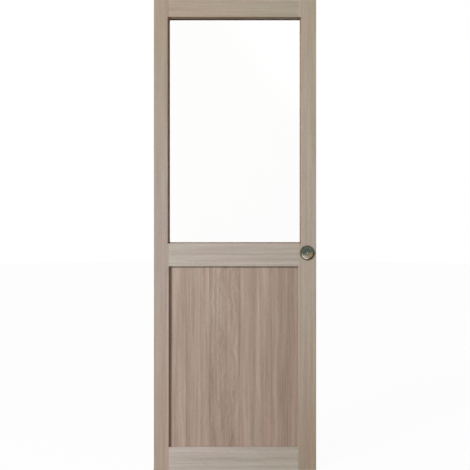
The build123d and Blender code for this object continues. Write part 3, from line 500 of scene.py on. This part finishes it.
def dress():
    """Every CAD node's material."""
    upright, level = (LEAF_LOW.z, LEAF_HIGH.z), (LEAF_LOW.x, LEAF_HIGH.x)
    # The rear stile keeps a lighter painted shade in its step than the other members
    rear = oak("oak_rear_stile", "Z", 1.0, REAR_STILE, STILE_CHANGE, STILE_CONTRAST, REAR_PAINTED_SHADE)
    assign(rear, "rear_stile")
    assign(oak("oak_pull_stile", "Z", 2.0, PULL_STILE, STILE_CHANGE, STILE_CONTRAST), "pull_stile")
    assign(oak("oak_top_rail", "X", 3.0, TOP_RAIL, level), "top_rail")
    assign(oak("oak_mid_rail", "X", 4.0, MID_RAIL, level), "mid_rail")
    assign(oak("oak_bottom_rail", "X", 5.0, BOTTOM_RAIL, level), "bottom_rail")
    for number, side in enumerate(("bottom", "right", "top", "left")):
        along = "X" if side in ("bottom", "top") else "Z"
        # The beads get a darker painted shade near the glass's sight line
        bead = oak(f"oak_bead_{side}", along, 11.0 + number, BEAD, upright, 1.0, BEAD_PAINTED_SHADE, BEAD_PAINTED_SHADE_FADE)
        assign(bead, f"glazing_bead_{side}")
    assign(panel_oak(), "lower_panel")
    assign(dusty("dowel_beech", srgb(205, 172, 132), srgb(188, 152, 112), 0.7), "dowels")
    assign(clear_glass(), "glass_pane")
    assign(dusty("gasket_rubber", srgb(52, 39, 28), srgb(62, 49, 38), 0.7), "glazing_gasket")
    assign(dusty("packer_plastic", srgb(40, 40, 42), srgb(52, 52, 54), 0.55), "setting_blocks")
    assign(nickel(), "cup_pull_front", "cup_pull_back")
    assign(track_aluminium(), *TRACK_LIMBS)
    steel = ["track_bolts", "track_nuts", "stop_screws", "hanger_screws", "lock_nuts", "wheel_axles"]
    steel += [f"wall_bracket_{number}" for number in (1, 2, 3, 4)]
    steel += [f"{name}_{side}" for name in ("hanger_plate", "suspension_bolt") for side in ("left", "right")]
    assign(plated_steel(), *steel)
    zinc = dusty("zinc_casting", srgb(150, 152, 155), srgb(126, 128, 132), 0.5, 1.0, 160.0, 0.00003)
    assign(zinc, "end_stop_left", "end_stop_right", "carriage_left", "carriage_right")
    wheel_names = [name for name in nodes if "_wheel_" in name]
    assign(dusty("wheel_nylon", srgb(228, 224, 212), srgb(206, 200, 186), 0.45), *wheel_names)
    guide = dusty("guide_nylon", srgb(226, 225, 220), srgb(210, 208, 201), 0.55, relief=0.00003)
    assign(guide, "floor_guide")
    rubber = dusty("buffer_rubber", srgb(34, 34, 35), srgb(48, 47, 46), 0.75)
    assign(rubber, "stop_buffer_left", "stop_buffer_right")


def camera():
    """The photograph's view: square on, from right of the leaf's middle and about half its height up."""
    metres_per_px = (LEAF_HIGH.x - LEAF_LOW.x) / (LEAF_RIGHT_PX - LEAF_LEFT_PX)
    picture = PICTURE_PX * metres_per_px
    centre_x = LEAF_LOW.x + (PICTURE_PX / 2 - LEAF_LEFT_PX) * metres_per_px
    centre_z = LEAF_HIGH.z - (PICTURE_PX / 2 - LEAF_TOP_PX) * metres_per_px
    eye_x = LEAF_LOW.x + (EYE_X_PX - LEAF_LEFT_PX) * metres_per_px
    data = bpy.data.cameras.new("camera")
    data.sensor_width = SENSOR_MM
    data.lens = EYE_DISTANCE * SENSOR_MM / picture
    data.shift_x = (centre_x - eye_x) / picture
    data.shift_y = (centre_z - EYE_Z) / picture
    eye = bpy.data.objects.new("camera", data)
    eye.location = (eye_x, LEAF_FRONT - EYE_DISTANCE, EYE_Z)
    eye.rotation_euler = (math.radians(90), 0, 0)
    bpy.context.scene.collection.objects.link(eye)
    bpy.context.scene.camera = eye


def area_lamp(name, place, target, size, power):
    """A rectangular lamp that faces a target and isn't mirrored."""
    data = bpy.data.lights.new(name, "AREA")
    data.shape = "RECTANGLE"
    data.size, data.size_y = size
    data.energy = power
    lamp = bpy.data.objects.new(name, data)
    lamp.location = place
    lamp.rotation_euler = (target - place).to_track_quat("-Z", "Y").to_euler()
    lamp.visible_glossy = False
    bpy.context.scene.collection.objects.link(lamp)


def lamps():
    """A key from the upper left and a tall strip at the left. Metal mirrors neither."""
    middle = (LEAF_LOW + LEAF_HIGH) / 2
    data = bpy.data.lights.new("key", "SUN")
    data.energy = KEY_STRENGTH
    data.angle = KEY_ANGLE
    key = bpy.data.objects.new("key", data)
    level = math.cos(KEY_ELEVATION)
    away = Vector((-math.sin(KEY_AZIMUTH) * level, -math.cos(KEY_AZIMUTH) * level, math.sin(KEY_ELEVATION)))
    key.rotation_euler = away.to_track_quat("Z", "Y").to_euler()
    bpy.context.scene.collection.objects.link(key)
    key.visible_glossy = False
    area_lamp("strip", middle + STRIP_FROM_MIDDLE, middle, STRIP_SIZE, STRIP_POWER)


def world():
    """White behind the object, a soft fill that is dim from below, and a room for metal to mirror."""
    scene_world = bpy.data.worlds.new("room")
    bpy.context.scene.world = scene_world
    scene_world.use_nodes = True
    room = scene_world.node_tree
    room.nodes.clear()

    def add(kind, **settings):
        node = room.nodes.new(kind)
        for key, value in settings.items():
            setattr(node, key, value)
        return node

    def put(socket, value):
        if isinstance(value, bpy.types.NodeSocket):
            room.links.new(value, socket)
        else:
            socket.default_value = value

    def background(colour):
        node = add("ShaderNodeBackground")
        put(node.inputs["Color"], colour)
        return node.outputs[0]

    def toward(way, low, high):
        """From 0 to 1 as the ray's direction turns towards a way."""
        dot = add("ShaderNodeVectorMath", operation="DOT_PRODUCT")
        room.links.new(direction, dot.inputs[0])
        dot.inputs[1].default_value = Vector(way).normalized()
        spread = add("ShaderNodeMapRange", interpolation_type="SMOOTHSTEP")
        room.links.new(dot.outputs["Value"], spread.inputs["Value"])
        spread.inputs["From Min"].default_value = low
        spread.inputs["From Max"].default_value = high
        return spread.outputs["Result"]

    def blend(factor, first, second):
        node = add("ShaderNodeMix", data_type="RGBA")
        for place, value in zip(MIX_INPUTS, (factor, first, second)):
            put(node.inputs[place], value)
        return node.outputs[MIX_OUTPUT]

    def choose(factor, first, second):
        node = add("ShaderNodeMixShader")
        for socket, value in zip(node.inputs, (factor, first, second)):
            room.links.new(value, socket)
        return node.outputs[0]

    direction = add("ShaderNodeTexCoord").outputs["Generated"]
    rays = add("ShaderNodeLightPath").outputs
    mirrored = ROOM_LEFT
    for *turn, colour in (ROOM_RIGHT, ROOM_FRONT, ROOM_WINDOW, ROOM_BEHIND):
        mirrored = blend(toward(*turn), mirrored, colour)
    seen = add("ShaderNodeMath", operation="MAXIMUM")
    room.links.new(rays["Is Camera Ray"], seen.inputs[0])
    room.links.new(rays["Is Transmission Ray"], seen.inputs[1])
    fill = blend(toward(*FILL_TURN), FILL_BELOW, FILL_ABOVE)
    lit = choose(rays["Is Glossy Ray"], background(fill), background(mirrored))
    whole = choose(seen.outputs[0], lit, background(WHITE))
    room.links.new(whole, add("ShaderNodeOutputWorld").inputs["Surface"])


def floor():
    """A pale floor that looks white, keeps a faint shadow, and is one flat colour where metal mirrors it."""
    mesh = bpy.data.meshes.new("floor")
    builder = bmesh.new()
    bmesh.ops.create_circle(builder, cap_ends=True, radius=FLOOR_RADIUS, segments=FLOOR_SIDES)
    builder.to_mesh(mesh)
    builder.free()
    ground = bpy.data.objects.new("floor", mesh)
    bpy.context.scene.collection.objects.link(ground)
    tree = plain("floor_white", FLOOR_WHITE, 0.9)
    glow = tree.add("ShaderNodeEmission", Color=WHITE, Strength=1.0)
    rays = tree.add("ShaderNodeLightPath")
    seen = tree.math("MAXIMUM", rays.outputs["Is Camera Ray"], rays.outputs["Is Transmission Ray"])
    tree.set(Base_Color=tree.mix(seen, FLOOR_BOUNCE, FLOOR_WHITE))
    pick = tree.add("ShaderNodeMixShader", Fac=tree.math("MULTIPLY", seen, FLOOR_GLOW))
    tree.links.new(tree.shader.outputs[0], pick.inputs[1])
    tree.links.new(glow.outputs[0], pick.inputs[2])
    dim = tree.add("ShaderNodeEmission", Color=FLOOR_MIRRORED, Strength=1.0)
    mirrored = tree.math("SUBTRACT", rays.outputs["Is Glossy Ray"], seen, clamp=True)
    whole = tree.add("ShaderNodeMixShader", Fac=mirrored)
    tree.links.new(pick.outputs[0], whole.inputs[1])
    tree.links.new(dim.outputs[0], whole.inputs[2])
    tree.links.new(whole.outputs[0], tree.output.inputs["Surface"])
    mesh.materials.append(tree.material)


dress()
camera()
lamps()
world()
floor()
bpy.context.scene.view_settings.view_transform = "Standard"
